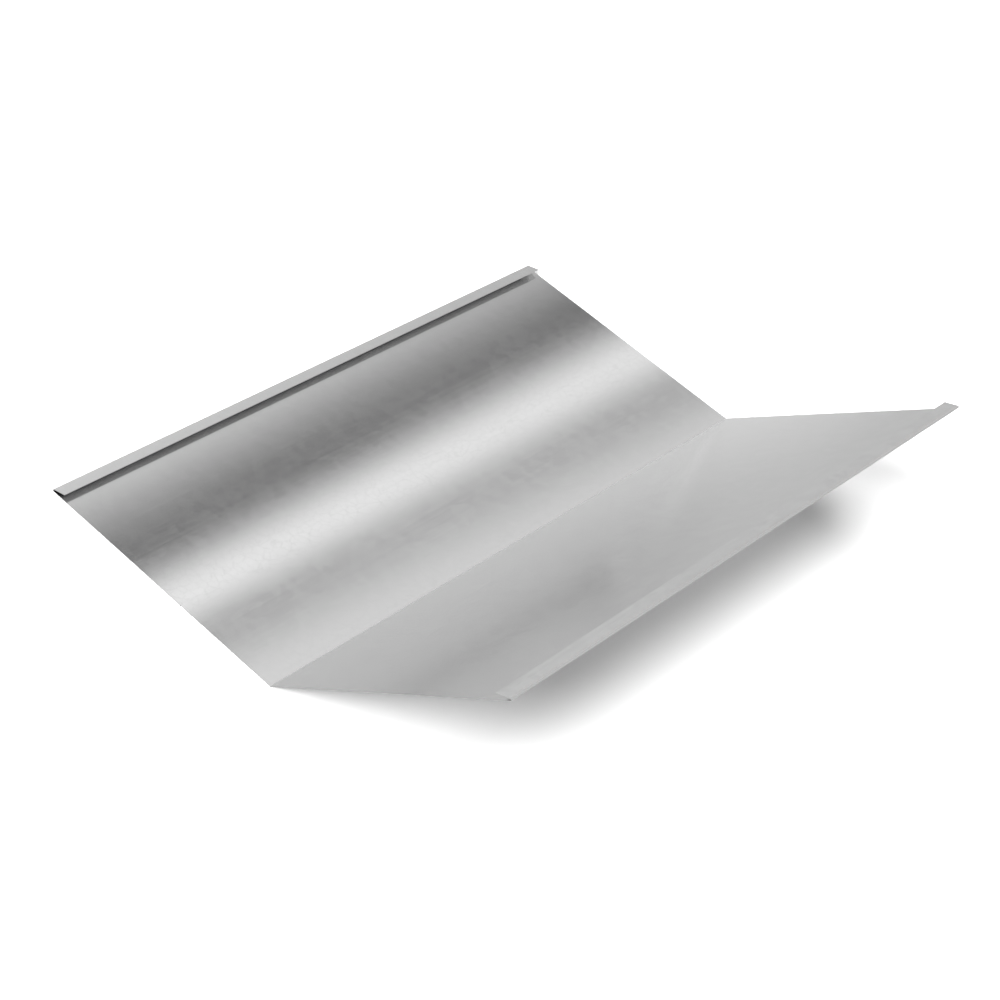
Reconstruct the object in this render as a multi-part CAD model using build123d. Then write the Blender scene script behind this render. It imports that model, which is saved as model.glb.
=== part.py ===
from build123d import *
import os
from math import radians, tan

# Valley flashing: one strip of thin galvanised sheet, folded once along its middle into a wide V that
# carries rainwater down a roof valley. Both long edges are turned back over the wings as open hems, which
# stop water that runs sideways and take the fixing clips. Nothing is punched, welded or fastened.
# It lies on its left wing, as it comes to rest on a level floor, with its length along Y and the right
# wing rising at the fold. The origin is the bottom centre of its box. Lengths are in millimetres.

# Driving dimensions
length = 700.0
sheet_thickness = 0.5
wing_width = 298.0  # on the underside, from the valley's sharp corner to the outside of the hem's bend
valley_angle = 140.0  # between the two wings
valley_inner_radius = 1.5
hem_width = 16.5  # along the turned-back leaf, from the outside of its bend to its free edge
hem_opening_angle = 17.0  # between the leaf and the wing below it
hem_inner_radius = 0.8

# The section is drawn along the sheet's outer face, so that each bend has its outer radius there.
valley_outer_radius = valley_inner_radius + sheet_thickness
hem_outer_radius = hem_inner_radius + sheet_thickness
valley_turn = 180.0 - valley_angle
hem_turn = 180.0 - hem_opening_angle
valley_setback = valley_outer_radius * tan(radians(valley_turn / 2))
wing_flat = wing_width - valley_setback - hem_outer_radius
leaf_flat = hem_width - hem_outer_radius

# The left wing is level, so the left leaf, drawn first, heads down towards its bend.
left_wing_heading = 0.0
left_leaf_heading = left_wing_heading - hem_turn


def folded_section():
    """The sheet's cross section: leaf, hem, wing, valley, wing, hem, leaf, with every bend turning left."""
    with BuildSketch(Plane.XZ) as section:
        with BuildLine():
            left_leaf = PolarLine((0, 0), leaf_flat, angle=left_leaf_heading)
            left_hem = JernArc(left_leaf @ 1, left_leaf % 1, hem_outer_radius, hem_turn)
            left_wing = PolarLine(left_hem @ 1, wing_flat, direction=left_hem % 1)
            valley = JernArc(left_wing @ 1, left_wing % 1, valley_outer_radius, valley_turn)
            right_wing = PolarLine(valley @ 1, wing_flat, direction=valley % 1)
            right_hem = JernArc(right_wing @ 1, right_wing % 1, hem_outer_radius, hem_turn)
            PolarLine(right_hem @ 1, leaf_flat, direction=right_hem % 1)
            offset(amount=sheet_thickness, side=Side.LEFT)
        make_face()
    return section.sketch


def standing_on_origin(solid):
    """The solid moved so that the bottom centre of its box is the origin."""
    box = solid.bounding_box()
    return Pos(-box.center().X, -box.center().Y, -box.min.Z) * solid


flashing_sheet = standing_on_origin(extrude(folded_section(), length))

os.makedirs("parts", exist_ok=True)
export_step(flashing_sheet, "parts/flashing_sheet.step")
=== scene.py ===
import math

import bmesh
import bpy
from mathutils import Matrix, Vector, noise

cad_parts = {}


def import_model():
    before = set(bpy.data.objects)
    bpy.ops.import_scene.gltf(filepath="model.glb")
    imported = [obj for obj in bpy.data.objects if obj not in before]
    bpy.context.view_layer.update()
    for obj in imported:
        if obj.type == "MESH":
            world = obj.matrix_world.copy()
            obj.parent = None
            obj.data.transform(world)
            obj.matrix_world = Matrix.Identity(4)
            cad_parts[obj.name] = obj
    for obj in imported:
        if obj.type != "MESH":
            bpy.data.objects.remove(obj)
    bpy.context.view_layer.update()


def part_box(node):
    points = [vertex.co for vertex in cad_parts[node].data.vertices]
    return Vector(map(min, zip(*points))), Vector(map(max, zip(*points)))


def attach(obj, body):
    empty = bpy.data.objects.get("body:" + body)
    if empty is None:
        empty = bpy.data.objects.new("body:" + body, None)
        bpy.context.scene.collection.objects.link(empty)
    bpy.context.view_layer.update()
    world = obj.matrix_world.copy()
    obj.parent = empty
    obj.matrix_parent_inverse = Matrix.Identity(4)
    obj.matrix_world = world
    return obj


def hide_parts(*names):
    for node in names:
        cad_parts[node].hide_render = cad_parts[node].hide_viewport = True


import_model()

# The sheet, in metres and degrees: the same sizes as the solid
LENGTH = 0.700
THICKNESS = 0.0005
WING_WIDTH = 0.298
VALLEY_ANGLE = 140.0
VALLEY_INNER_RADIUS = 0.0015
HEM_WIDTH = 0.0165
HEM_OPENING = 17.0
HEM_INNER_RADIUS = 0.0008

# The sheet's mesh
EDGE_BREAK = 0.00006  # the small chamfer that is left round every cut edge
POCKET_SHADE_REACH = 0.008  # how far the painted shade inside a hem's bend spreads
BEND_MARGIN = 0.0004  # how near to a bend its last row of flat faces lies
STEP_ACROSS = 0.008  # the longest face across the strip
STEP_ALONG = 0.010  # the longest face along the valley
HEM_STEPS = 28  # faces round a hem's bend
VALLEY_STEPS = 14  # faces round the valley's bend
SHARP_ANGLE = 30.0  # an edge that turns by more than this is shaded sharp
MARKS = ("hem", "pocket_shade", "valley", "cut")  # what the mesh tells the material about each point

# The wings' flats, which swell out of their plane a little and unevenly
OIL_CANNING = 0.00006  # the most that they swell
SWELL_HOLD = 1.5  # how firmly the bends hold them: a power of the sine across a wing
SWELL_WAVES = (1.3, 4.5)  # the noise's steps in a wing's width and in a metre of length
SWELL_SLICE = 2.7  # the slice of the noise that is used
SWELL_CONTRAST = 1.6

# The camera of the photograph, turned with the part so that the left wing lies level
CAMERA_LOCATION = Vector((0.88713, -1.62442, 1.56835))
CAMERA_AIM = Vector((0.01884, -0.03761, 0.06))
CAMERA_ROLL = 19.973
CAMERA_LENS = 87.833
CAMERA_REACH = 50.0
SENSOR = 36.0

# The zinc coating and the bare sheared edges: their grey and roughness
ZINC = 0.76
ZINC_ROUGHNESS = 0.165
SHEARED = 0.68
SHEARED_ROUGHNESS = 0.40

# The zinc's crystals
SPANGLE_SIZE = 0.010
SPANGLE_WANDER = 0.004  # how far their borders stray from straight
SPANGLE_SEAM = 0.06  # the width of the line between two of them, as a share of their size

# The coating's noises: their steps in a metre along X, Y and Z
CLOUDS = (7.0, 4.0, 7.0)
ROLLING = (620.0, 5.0, 620.0)
GRAIN = (2400.0, 2400.0, 2400.0)
CRAZING = (5200.0, 90.0, 5200.0)
SHEARING = (3800.0, 3800.0, 500.0)
WANDERING = (260.0, 260.0, 260.0)
MICROMETRE = 0.000001

# The floor and the sky
FLOOR_SIZE = 30.0
FLOOR_LEVEL = -0.0004
FLOOR_COLOUR = 1.5  # for the camera: the photograph's floor is a clear white with a short shadow
FLOOR_BOUNCE = 0.26  # for the light that the floor passes on
WORLD_DIFFUSE = 0.04
WORLD_HORIZON = 0.68
WORLD_ZENITH = 0.62
WORLD_RISE = (0.45, 1.0)  # the sines of the heights between which it goes from the one to the other

# The lamps: directions towards them, and angles in degrees
KEY_DIRECTION = Vector((0.14, -1.04, 1.0))
KEY_ANGLE = 22.0
KEY_STRENGTH = 2.36
FILL_DIRECTION = Vector((0.055, -0.03, 1.0))
FILL_ANGLE = 38.0
FILL_STRENGTH = 1.52

# The reflection card: a long gradient-lit screen over the left hem, seen only in the metal.
# Its stops are angles from the vertical at the mirrored camera, each with a brightness.
# The near stops give way to the far ones between the two places of CARD_BLEND along Y.
CARD_DISTANCE = 0.385
CARD_MIDDLE = 32.0
CARD_NEAR = [
    (27.7, 0.72), (28.6, 0.95), (30.9, 0.40), (31.85, 1.33), (33.5, 0.15), (36.9, 0.92), (37.3, 0.92),
]
CARD_FAR = [
    (27.7, 0.90), (28.0, 0.88), (30.55, 0.42), (31.8, 1.20), (33.85, 0.15), (36.9, 0.66), (37.3, 0.66),
]
CARD_BLEND = (-0.06, 0.74)
CARD_Y = (-0.6, 1.5)

# The floor flag: a grey sheet on the floor under and beyond the left wing, seen only in the metal.
# Its brightness is a sum of spots: a centre, a stretch, the reach of distances over which the level
# changes, and the levels inside and outside of it.
FLAG_X = (-2.2, 0.3)
FLAG_Y = (-1.2, 3.0)
FLAG_LEVEL = -0.0002
FLAG_SPOTS = [
    ((0.45, 1.26, 0.0), (1.0, 0.5, 0.0), (0.40, 0.87), 0.96, 0.555),
    ((-0.29, 0.42, 0.0), (1.0, 1.0, 0.0), (0.05, 0.18), -0.06, 0.0),
    ((-0.275, 0.14, 0.0), (1.6, 0.6, 0.0), (0.04, 0.14), 0.16, 0.0),
    ((-0.38, 0.75, 0.0), (1.0, 0.7, 0.0), (0.06, 0.22), 0.04, 0.0),
    ((-0.39, 0.20, 0.0), (1.0, 1.2, 0.0), (0.02, 0.12), -0.05, 0.0),
    ((-0.37, 0.50, 0.0), (1.0, 0.8, 0.0), (0.02, 0.12), -0.035, 0.0),
]
# To the right it is one even grey, for the right hem's bend.
RIGHT_FLAG_X = (0.3, 12.0)
RIGHT_FLAG_Y = (-4.0, 12.0)
RIGHT_FLAG_BRIGHTNESS = 0.60

# The side card: an upright screen beyond the left hem, seen only in the metal. Its top is light. Below
# that it goes from SIDE_NEAR to SIDE_FAR along Y, with a lighter shoulder and then a dark foot further down.
SIDE_X = -0.60
SIDE_Y = (-0.8, 2.2)
SIDE_TOP = 0.32
SIDE_RISE = (0.220, 0.288)  # the heights between which the light top begins
SIDE_SLANT = 0.07  # how much lower these are for each metre along Y
SIDE_LIGHT = 1.34
SIDE_BLEND = (-0.11, 0.72)  # the places along Y between which SIDE_NEAR gives way to SIDE_FAR
SIDE_NEAR = 0.705
SIDE_FAR = 0.525
SIDE_SHOULDER = 1.30  # how many times lighter it is below the heights that the left leaf mirrors
SIDE_SHOULDER_REACH = (0.10, 0.13)
SIDE_FOOT = 0.50
SIDE_FOOT_HEIGHT = 0.085


def camera():
    """The photograph's viewpoint: location, aim, and a roll about the line of sight."""
    data = bpy.data.cameras.new("camera")
    data.lens = CAMERA_LENS
    data.sensor_width = SENSOR
    data.clip_end = CAMERA_REACH
    obj = bpy.data.objects.new("camera", data)
    bpy.context.scene.collection.objects.link(obj)
    turn = (CAMERA_AIM - CAMERA_LOCATION).to_track_quat("-Z", "Y").to_matrix().to_4x4()
    roll = Matrix.Rotation(math.radians(CAMERA_ROLL), 4, "Z")
    obj.matrix_world = Matrix.Translation(CAMERA_LOCATION) @ turn @ roll
    bpy.context.scene.camera = obj
    return obj


# The sheet's mesh

def flat_steps(size, margin_start, margin_end):
    """Even steps across a flat, with one narrow step against each bend or free edge."""
    inner = size - margin_start - margin_end
    count = math.ceil(inner / STEP_ACROSS)
    return [margin_start] + [inner / count] * count + [margin_end]


def outer_path():
    """The section's outer face, as points from one free edge to the other.

    Each point holds its x and z, its heading, the kind of run that it ends and its distance along the path.
    """
    valley_turn = 180.0 - VALLEY_ANGLE
    hem_turn = 180.0 - HEM_OPENING
    valley_radius = VALLEY_INNER_RADIUS + THICKNESS
    hem_radius = HEM_INNER_RADIUS + THICKNESS
    setback = valley_radius * math.tan(math.radians(valley_turn / 2))
    wing = WING_WIDTH - setback - hem_radius
    leaf = HEM_WIDTH - hem_radius
    runs = [
        ("leaf", flat_steps(leaf, EDGE_BREAK, BEND_MARGIN), 0.0),
        ("hem", [hem_radius] * HEM_STEPS, hem_turn),
        ("wing", flat_steps(wing, BEND_MARGIN, BEND_MARGIN), 0.0),
        ("valley", [valley_radius] * VALLEY_STEPS, valley_turn),
        ("wing", flat_steps(wing, BEND_MARGIN, BEND_MARGIN), 0.0),
        ("hem", [hem_radius] * HEM_STEPS, hem_turn),
        ("leaf", flat_steps(leaf, BEND_MARGIN, EDGE_BREAK), 0.0),
    ]
    x = z = along = 0.0
    heading = -math.radians(hem_turn)
    points = [(x, z, heading, "leaf", along)]
    for kind, sizes, turn in runs:
        for size in sizes:
            if turn:
                bend = math.radians(turn) / len(sizes)
                chord = 2 * size * math.sin(bend / 2)
                x += chord * math.cos(heading + bend / 2)
                z += chord * math.sin(heading + bend / 2)
                heading += bend
                along += size * bend
            else:
                x += size * math.cos(heading)
                z += size * math.sin(heading)
                along += size
            points.append((x, z, heading, kind, along))
    return points


def placed_path():
    """The outer path, moved so that the sheet fills the solid's box."""
    path = outer_path()
    box_low, box_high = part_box("flashing_sheet")
    xs = [point[0] for point in path]
    zs = [point[1] for point in path]
    shift_x = (box_low.x + box_high.x) / 2 - (min(xs) + max(xs)) / 2
    shift_z = box_low.z - min(zs)
    return [(x + shift_x, z + shift_z, heading, kind, along) for x, z, heading, kind, along in path]


def rows_along():
    """Places along the valley, from end to end, with one more just inside each end for the edge break."""
    count = math.ceil(LENGTH / STEP_ALONG)
    inner = [LENGTH * i / count for i in range(1, count)]
    return [y - LENGTH / 2 for y in [0.0, EDGE_BREAK] + inner + [LENGTH - EDGE_BREAK, LENGTH]]


def spans(path, kind):
    """Where each run of one kind starts and stops along the path."""
    found = []
    for before, point in zip(path, path[1:]):
        if point[3] == kind and before[3] != kind:
            found.append([before[4], point[4]])
        elif point[3] == kind:
            found[-1][1] = point[4]
    return found


def swell(across, y):
    """How far a wing's flat leaves its plane at a share of its width, as a share of the most that it does."""
    if not 0.0 < across < 1.0:
        return 0.0
    hold = math.sin(math.pi * across) ** SWELL_HOLD
    wave = noise.noise(Vector((across * SWELL_WAVES[0], y * SWELL_WAVES[1], SWELL_SLICE)))
    return hold * (0.5 + 0.5 * max(-1.0, min(1.0, SWELL_CONTRAST * wave)))


def section_ring(mesh, marks, path, y, at_end):
    """The points of one section: along its outer face, then back along its inner face."""
    wings = spans(path, "wing")
    hems = spans(path, "hem")
    outer, inner = [], []
    for column, (x, z, heading, kind, along) in enumerate(path):
        is_cut = at_end or column in (0, len(path) - 1)
        low = EDGE_BREAK if is_cut else 0.0
        high = THICKNESS - low
        lift = OIL_CANNING * sum(swell((along - start) / (stop - start), y) for start, stop in wings)
        gap = min(max(start - along, along - stop, 0.0) for start, stop in hems)
        for offset, ring in ((low, outer), (high, inner)):
            vert = mesh.verts.new((
                x - math.sin(heading) * (offset + lift),
                y,
                z + math.cos(heading) * (offset + lift),
            ))
            vert[marks["hem"]] = float(kind == "hem")
            # painted shade on the inner face in and near a hem's bend, fading with the distance from it
            vert[marks["pocket_shade"]] = max(0.0, 1.0 - gap / POCKET_SHADE_REACH) if ring is inner else 0.0
            vert[marks["valley"]] = float(kind == "valley")
            vert[marks["cut"]] = float(is_cut)
            ring.append(vert)
    return outer + inner[::-1]


def skin(mesh, rings):
    """Faces from each ring of points to the next one, and across the two end rings."""
    count = len(rings[0])
    for near, far in zip(rings, rings[1:]):
        for i in range(count):
            j = (i + 1) % count
            mesh.faces.new((near[i], near[j], far[j], far[i]))
    for ring in (rings[0], rings[-1]):
        for i in range(count // 2 - 1):
            mesh.faces.new((ring[i], ring[i + 1], ring[count - 2 - i], ring[count - 1 - i]))
    bmesh.ops.recalc_face_normals(mesh, faces=mesh.faces)


def sheet_mesh():
    """The folded sheet as one closed mesh: round bends, broken cut edges and wings that aren't quite flat."""
    path = placed_path()
    rows = rows_along()
    mesh = bmesh.new()
    marks = {name: mesh.verts.layers.float.new(name) for name in MARKS}
    skin(mesh, [section_ring(mesh, marks, path, y, y in (rows[0], rows[-1])) for y in rows])
    for face in mesh.faces:
        face.smooth = True
    for edge in mesh.edges:
        if edge.calc_face_angle() > math.radians(SHARP_ANGLE):
            edge.smooth = False
    data = bpy.data.meshes.new("galvanised_sheet")
    mesh.to_mesh(data)
    mesh.free()
    return data


# Shader nodes

def add(tree, kind, inputs=None, **settings):
    """One shader node: a value or another node's output for each input, and the node's own settings."""
    made = tree.nodes.new(kind)
    for name, value in settings.items():
        setattr(made, name, value)
    for key, value in (inputs or {}).items():
        if isinstance(value, bpy.types.NodeSocket):
            tree.links.new(value, made.inputs[key])
        else:
            made.inputs[key].default_value = value
    return made


def combine(tree, operation, first, second):
    """Two levels, each a socket or a number, put together by one Math node."""
    return add(tree, "ShaderNodeMath", {0: first, 1: second}, operation=operation).outputs[0]


def times(tree, value, amount):
    """A level times an amount."""
    return combine(tree, "MULTIPLY", value, amount)


def around(tree, value, amount):
    """How far a noise departs from its middle, times an amount."""
    return times(tree, combine(tree, "SUBTRACT", value, 0.5), amount)


def total(tree, start, parts):
    """A number plus several sockets."""
    result = start
    for part in parts:
        result = combine(tree, "ADD", part, result)
    return result


def blend(tree, factor, first, second):
    """A level between two others."""
    made = add(tree, "ShaderNodeMix", {"Factor": factor, "A": first, "B": second}, data_type="FLOAT")
    return made.outputs["Result"]


def between(tree, value, reach, first, second, smooth=True):
    """A level that goes from the first to the second while the value crosses its reach."""
    inputs = {"Value": value, "From Min": reach[0], "From Max": reach[1], "To Min": first, "To Max": second}
    kind = "SMOOTHSTEP" if smooth else "LINEAR"
    return add(tree, "ShaderNodeMapRange", inputs, interpolation_type=kind).outputs["Result"]


def vector_math(tree, operation, *inputs):
    """One Vector Math node, with its inputs in order."""
    return add(tree, "ShaderNodeVectorMath", dict(enumerate(inputs)), operation=operation)


def position(tree):
    """The point that is shaded."""
    return add(tree, "ShaderNodeNewGeometry").outputs["Position"]


def split(tree, vector):
    """A vector's X, Y and Z, by name."""
    return add(tree, "ShaderNodeSeparateXYZ", {0: vector}).outputs


def scaled_noise(tree, coords, steps, detail=2.0, roughness=0.5):
    """Noise with its own number of steps in a metre along X, Y and Z."""
    stretched = vector_math(tree, "MULTIPLY", coords, steps).outputs[0]
    inputs = {"Vector": stretched, "Scale": 1.0, "Detail": detail, "Roughness": roughness}
    return add(tree, "ShaderNodeTexNoise", inputs).outputs["Fac"]


def new_material(name, surface):
    """A material, where surface(tree) builds its shader and gives that shader's output."""
    made = bpy.data.materials.new(name)
    made.use_nodes = True
    tree = made.node_tree
    tree.nodes.clear()
    add(tree, "ShaderNodeOutputMaterial", {"Surface": surface(tree)})
    return made


# The zinc coating's material

def spangle(tree, coords):
    """The zinc's crystals: a level for each crystal, and a thin line where two of them meet."""
    wander = scaled_noise(tree, coords, WANDERING)
    bent = vector_math(tree, "MULTIPLY_ADD", wander, (SPANGLE_WANDER,) * 3, coords).outputs[0]
    inputs = {"Vector": bent, "Scale": 1.0 / SPANGLE_SIZE}
    cells = add(tree, "ShaderNodeTexVoronoi", inputs, feature="F1")
    level = add(tree, "ShaderNodeSeparateColor", {"Color": cells.outputs["Color"]}).outputs["Red"]
    borders = add(tree, "ShaderNodeTexVoronoi", inputs, feature="DISTANCE_TO_EDGE")
    return level, between(tree, borders.outputs["Distance"], (0.0, SPANGLE_SEAM), 1.0, 0.0)


def zinc_coating(tree):
    """Smooth hot-dip zinc: satin metal with faint crystals and rolling lines, and bare steel at its cuts."""
    coords = add(tree, "ShaderNodeTexCoord").outputs["Object"]
    hem, pocket_shade, valley, cut = [
        add(tree, "ShaderNodeAttribute", attribute_name=name).outputs["Fac"] for name in MARKS
    ]
    bend = combine(tree, "ADD", hem, valley)
    clouds = scaled_noise(tree, coords, CLOUDS, detail=3.0)
    rolling = scaled_noise(tree, coords, ROLLING, detail=3.0, roughness=0.6)
    grain = scaled_noise(tree, coords, GRAIN)
    crazing = scaled_noise(tree, coords, CRAZING, roughness=0.6)
    shearing = scaled_noise(tree, coords, SHEARING)
    crystal, seam = spangle(tree, coords)

    # colour: crazed over the bends, a little darker on the hems', painted shade inside them and a painted
    # highlight on the valley's
    zinc = total(tree, ZINC, [
        around(tree, clouds, 0.030),
        around(tree, rolling, 0.024),
        around(tree, crystal, 0.016),
        times(tree, seam, -0.010),
        times(tree, bend, around(tree, crazing, 0.10)),
        times(tree, hem, -0.02),
        # painted shade inside the hems' bends
        times(tree, pocket_shade, -0.36),
        # painted highlight: the valley's bend is made lighter
        times(tree, valley, 0.12),
    ])
    bare = total(tree, SHEARED, [around(tree, shearing, 0.20)])
    grey = blend(tree, cut, zinc, bare)
    colour = add(tree, "ShaderNodeCombineColor", {"Red": grey, "Green": grey, "Blue": grey})

    # roughness
    coating = total(tree, ZINC_ROUGHNESS, [
        around(tree, clouds, 0.030),
        around(tree, rolling, 0.045),
        around(tree, crystal, 0.016),
        times(tree, seam, 0.020),
        times(tree, bend, 0.130),
    ])
    roughness = blend(tree, cut, coating, SHEARED_ROUGHNESS)

    # relief, in micrometres
    relief = total(tree, 0.0, [
        around(tree, rolling, 1.6),
        around(tree, grain, 0.5),
        times(tree, seam, 0.7),
        times(tree, bend, around(tree, crazing, 3.0)),
        times(tree, cut, around(tree, shearing, 30.0)),
    ])
    bump = add(tree, "ShaderNodeBump", {"Strength": 1.0, "Distance": MICROMETRE, "Height": relief})

    return add(tree, "ShaderNodeBsdfPrincipled", {
        "Metallic": 1.0,
        "Base Color": colour.outputs["Color"],
        "Roughness": roughness,
        "Normal": bump.outputs["Normal"],
    }).outputs["BSDF"]


def sheet():
    """The whole part: one folded sheet in place of the solid."""
    obj = bpy.data.objects.new("galvanised_sheet", sheet_mesh())
    bpy.context.scene.collection.objects.link(obj)
    obj.data.materials.append(new_material("galvanised_steel", zinc_coating))
    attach(obj, "root")
    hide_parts("flashing_sheet")
    return obj


# The studio

def quad(name, corners, material):
    """A staged flat of four corners."""
    data = bpy.data.meshes.new(name)
    data.from_pydata(corners, [], [(0, 1, 2, 3)])
    data.materials.append(material)
    obj = bpy.data.objects.new(name, data)
    bpy.context.scene.collection.objects.link(obj)
    return obj


def level_corners(x_reach, y_reach, z):
    """The corners of a level rectangle."""
    (x0, x1), (y0, y1) = x_reach, y_reach
    return [(x0, y0, z), (x1, y0, z), (x1, y1, z), (x0, y1, z)]


def floor():
    """Brighter than white for the camera, so that only a short shadow is left, and grey for bounced light."""
    def matt(tree):
        depth = add(tree, "ShaderNodeLightPath").outputs["Diffuse Depth"]
        level = between(tree, depth, (0.0, 1.0), FLOOR_COLOUR, FLOOR_BOUNCE, smooth=False)
        return add(tree, "ShaderNodeBsdfDiffuse", {"Color": level}).outputs[0]

    side = (-FLOOR_SIZE / 2, FLOOR_SIZE / 2)
    return quad("floor", level_corners(side, side, FLOOR_LEVEL), new_material("floor", matt))


def card(name, corners, brightness):
    """A glowing flat that the metal mirrors, and that neither shows nor lights nor shades anything else.

    brightness(tree) gives its level, as a socket or a number.
    """
    def glow(tree):
        return add(tree, "ShaderNodeEmission", {"Strength": brightness(tree)}).outputs[0]

    obj = quad(name, corners, new_material(name, glow))
    obj.visible_camera = False
    obj.visible_diffuse = False
    obj.visible_shadow = False
    obj.visible_transmission = False
    return obj


def spot(tree, centre, stretch, reach, inside, outside):
    """A level that changes with the distance from a centre, stretched along each axis."""
    shift = vector_math(tree, "SUBTRACT", position(tree), centre).outputs[0]
    stretched = vector_math(tree, "MULTIPLY", shift, stretch).outputs[0]
    distance = vector_math(tree, "LENGTH", stretched).outputs["Value"]
    return between(tree, distance, reach, inside, outside)


def floor_flag():
    """Grey in the metal, lighter beyond the sheet's far end, with small spots that the right wing mirrors."""
    def brightness(tree):
        return total(tree, 0.0, [spot(tree, *settings) for settings in FLAG_SPOTS])

    return card("floor_flag", level_corners(FLAG_X, FLAG_Y, FLAG_LEVEL), brightness)


def right_flag():
    """An even grey that the right hem's bend mirrors."""
    def brightness(tree):
        return RIGHT_FLAG_BRIGHTNESS

    return card("right_flag", level_corners(RIGHT_FLAG_X, RIGHT_FLAG_Y, FLAG_LEVEL), brightness)


def side_card():
    """What the left leaf mirrors, and what the left wing passes on to the right one."""
    def brightness(tree):
        place = split(tree, position(tree))
        y, z = place["Y"], place["Z"]
        middle = between(tree, y, SIDE_BLEND, SIDE_NEAR, SIDE_FAR, smooth=False)
        shoulder = times(tree, middle, SIDE_SHOULDER)
        foot = between(tree, z, (0.0, SIDE_FOOT_HEIGHT), SIDE_FOOT, shoulder)
        low = between(tree, z, SIDE_SHOULDER_REACH, foot, middle)
        slanted = combine(tree, "ADD", z, times(tree, y, SIDE_SLANT))
        return between(tree, slanted, SIDE_RISE, low, SIDE_LIGHT)

    x, (y0, y1), top = SIDE_X, SIDE_Y, SIDE_TOP
    return card("side_card", [(x, y0, 0.0), (x, y1, 0.0), (x, y1, top), (x, y0, top)], brightness)


def reflection_card():
    """A screen along Y, across the mirrored line of sight, with light and dark bands along it."""
    mirror = Vector((CAMERA_LOCATION.x, 0.0, -CAMERA_LOCATION.z))
    middle = math.radians(CARD_MIDDLE)
    reach = CAMERA_LOCATION.z / math.cos(middle) + CARD_DISTANCE
    centre = mirror + Vector((-math.sin(middle), 0.0, math.cos(middle))) * reach
    across = Vector((-math.cos(middle), 0.0, -math.sin(middle)))

    def offset(angle):
        return reach * math.tan(math.radians(angle - CARD_MIDDLE))

    low, high = offset(CARD_NEAR[0][0]), offset(CARD_NEAR[-1][0])
    start = centre.dot(across)

    def bands(tree, scale, stops):
        ramp = add(tree, "ShaderNodeValToRGB", {"Fac": scale})
        ramp.color_ramp.interpolation = "EASE"
        elements = ramp.color_ramp.elements
        while len(elements) < len(stops):
            elements.new(0.5)
        for element, (angle, level) in zip(elements, stops):
            element.position = (offset(angle) - low) / (high - low)
            element.color = (level, level, level, 1.0)
        return ramp.outputs["Color"]

    def brightness(tree):
        here = position(tree)
        along = vector_math(tree, "DOT_PRODUCT", here, across).outputs["Value"]
        scale = between(tree, along, (start + low, start + high), 0.0, 1.0, smooth=False)
        far_share = between(tree, split(tree, here)["Y"], CARD_BLEND, 0.0, 1.0, smooth=False)
        return blend(tree, far_share, bands(tree, scale, CARD_NEAR), bands(tree, scale, CARD_FAR))

    corners = []
    for side, y in ((low, CARD_Y[0]), (high, CARD_Y[0]), (high, CARD_Y[1]), (low, CARD_Y[1])):
        corners.append(centre + across * side + Vector((0.0, y, 0.0)))
    return card("reflection_card", corners, brightness)


def world():
    """White behind the object, dim for bounced light, and in the metal a grey studio, darkest overhead."""
    made = bpy.data.worlds.new("studio")
    bpy.context.scene.world = made
    made.use_nodes = True
    tree = made.node_tree
    tree.nodes.clear()
    height = split(tree, add(tree, "ShaderNodeTexCoord").outputs["Generated"])["Z"]
    sky = between(tree, height, WORLD_RISE, WORLD_HORIZON, WORLD_ZENITH)
    path = add(tree, "ShaderNodeLightPath").outputs
    bounced = combine(tree, "GREATER_THAN", path["Diffuse Depth"], 0.5)
    strength = blend(tree, path["Is Camera Ray"], blend(tree, bounced, sky, WORLD_DIFFUSE), 1.0)
    inputs = {"Color": (1.0, 1.0, 1.0, 1.0), "Strength": strength}
    background = add(tree, "ShaderNodeBackground", inputs)
    add(tree, "ShaderNodeOutputWorld", {"Surface": background.outputs[0]})
    return made


def lamp(name, direction, angle, strength):
    """A wide soft light from one side, not mirrored by the metal."""
    data = bpy.data.lights.new(name, "SUN")
    data.angle = math.radians(angle)
    data.energy = strength
    obj = bpy.data.objects.new(name, data)
    bpy.context.scene.collection.objects.link(obj)
    obj.rotation_euler = direction.to_track_quat("Z", "Y").to_euler()
    obj.visible_glossy = False
    return obj


camera()
sheet()
floor()
floor_flag()
right_flag()
side_card()
reflection_card()
world()
lamp("key", KEY_DIRECTION, KEY_ANGLE, KEY_STRENGTH)
lamp("fill", FILL_DIRECTION, FILL_ANGLE, FILL_STRENGTH)

bpy.context.scene.view_settings.view_transform = "Standard"
bpy.context.view_layer.update()
